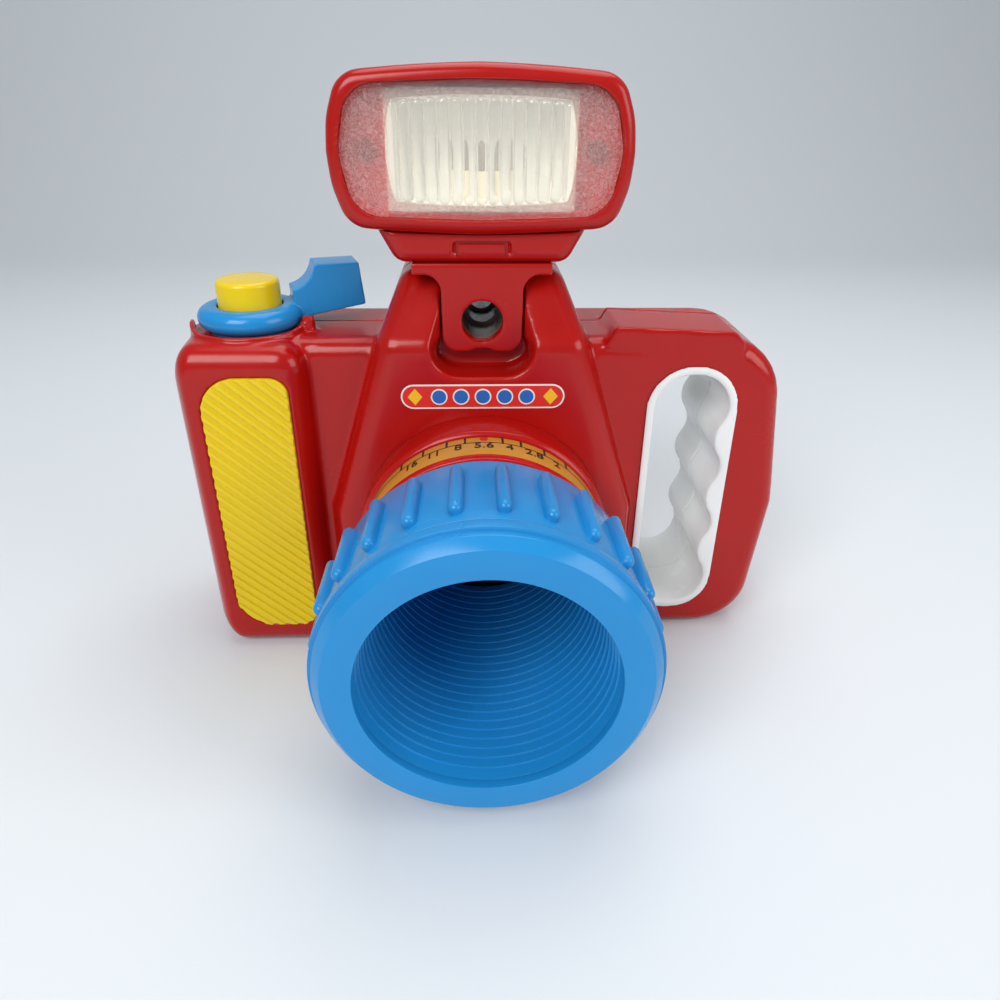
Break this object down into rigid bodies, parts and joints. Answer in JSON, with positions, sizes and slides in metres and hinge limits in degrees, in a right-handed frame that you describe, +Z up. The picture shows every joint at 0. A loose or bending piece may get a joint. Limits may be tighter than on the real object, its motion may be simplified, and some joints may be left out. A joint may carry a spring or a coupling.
{
  "type": "toy camera",
  "caption": "Toy camera: red moulded body with a ribbed yellow grip, open carrying handle, turning blue lens, flash head, and a sprung shutter button inside a swinging wind lever.",
  "frame": {"origin": "on the table under the lens axis, 17 mm behind the body's front face", "axes": "+X towards the handle side, +Y towards the back, +Z up"},
  "size_m": [0.179, 0.12, 0.1651],
  "materials": {
    "red_plastic": "glossy moulded plastic",
    "yellow_plastic": "glossy moulded plastic",
    "white_plastic": "glossy moulded plastic",
    "blue_plastic": "glossy moulded plastic",
    "gold_plastic": "gold-coloured satin plastic with a printed scale",
    "ring_red_plastic": "glossy moulded plastic",
    "clear_plastic": "clear moulded plastic",
    "cream_plastic": "glossy pale plastic",
    "bulb_glass": "clear glass",
    "tan_plastic": "matte plastic",
    "dark_plastic": "matte dark plastic",
    "grey_plastic": "matte grey plastic",
    "screw_steel": "plain steel",
    "spring_steel": "bright steel wire",
    "contact_metal": "plated sheet",
    "cell_case": "printed sleeve",
    "cone_paper": "pressed paper",
    "board_green": "laminate"
  },
  "bodies": {
    "body": {"front_shell": "red_plastic", "rear_shell": "red_plastic", "grip_panel": "yellow_plastic", "liner_front": "white_plastic", "liner_rear": "white_plastic", "viewfinder_block": "red_plastic", "viewfinder_tube": "grey_plastic", "eyepiece": "dark_plastic", "eyepiece_window": "clear_plastic", "flash_housing": "red_plastic", "flash_bezel": "red_plastic", "flash_lens": "clear_plastic", "flash_reflector": "cream_plastic", "flash_bulb": "bulb_glass", "bulb_holder": "tan_plastic", "flash_screws": "screw_steel", "lens_collar": "red_plastic", "scale_ring": "gold_plastic", "lens_retainer": "ring_red_plastic", "lever_spring": "spring_steel", "shutter_spring": "spring_steel", "shutter_switch": "dark_plastic", "switch_plate": "grey_plastic", "speaker_grille": "dark_plastic", "speaker_frame": "screw_steel", "speaker_cone": "cone_paper", "sound_board": "board_green", "battery_box": "dark_plastic", "battery_cells": "cell_case", "battery_contacts": "contact_metal", "battery_door": "red_plastic", "door_screw": "screw_steel", "case_screws": "screw_steel"},
    "lens": {"lens_barrel": "blue_plastic", "lens_tube": "blue_plastic", "lens_snap_ring": "blue_plastic"},
    "lever": {"wind_lever": "blue_plastic", "lever_retainer": "blue_plastic"},
    "shutter": {"shutter_button": "yellow_plastic"}
  },
  "joints": [
    {"name": "lens_turn", "type": "hinge", "parent": "body", "child": "lens", "pos_m": [0, -0.05, 0.0435], "axis": [0, 1, 0], "continuous": true},
    {"name": "lever_swing", "type": "hinge", "parent": "body", "child": "lever", "pos_m": [-0.0658, -0.002, 0.1], "axis": [0, 0, 1], "range_deg": [0, 60], "stiffness_Nm_per_rad": 0.02, "springref_deg": -11.46},
    {"name": "shutter_press", "type": "slide", "parent": "body", "child": "shutter", "axis": [0, 0, -1], "range_m": [0, 0.003], "stiffness_N_per_m": 300, "springref_m": -0.002, "deforming": ["shutter_spring"]}
  ]
}
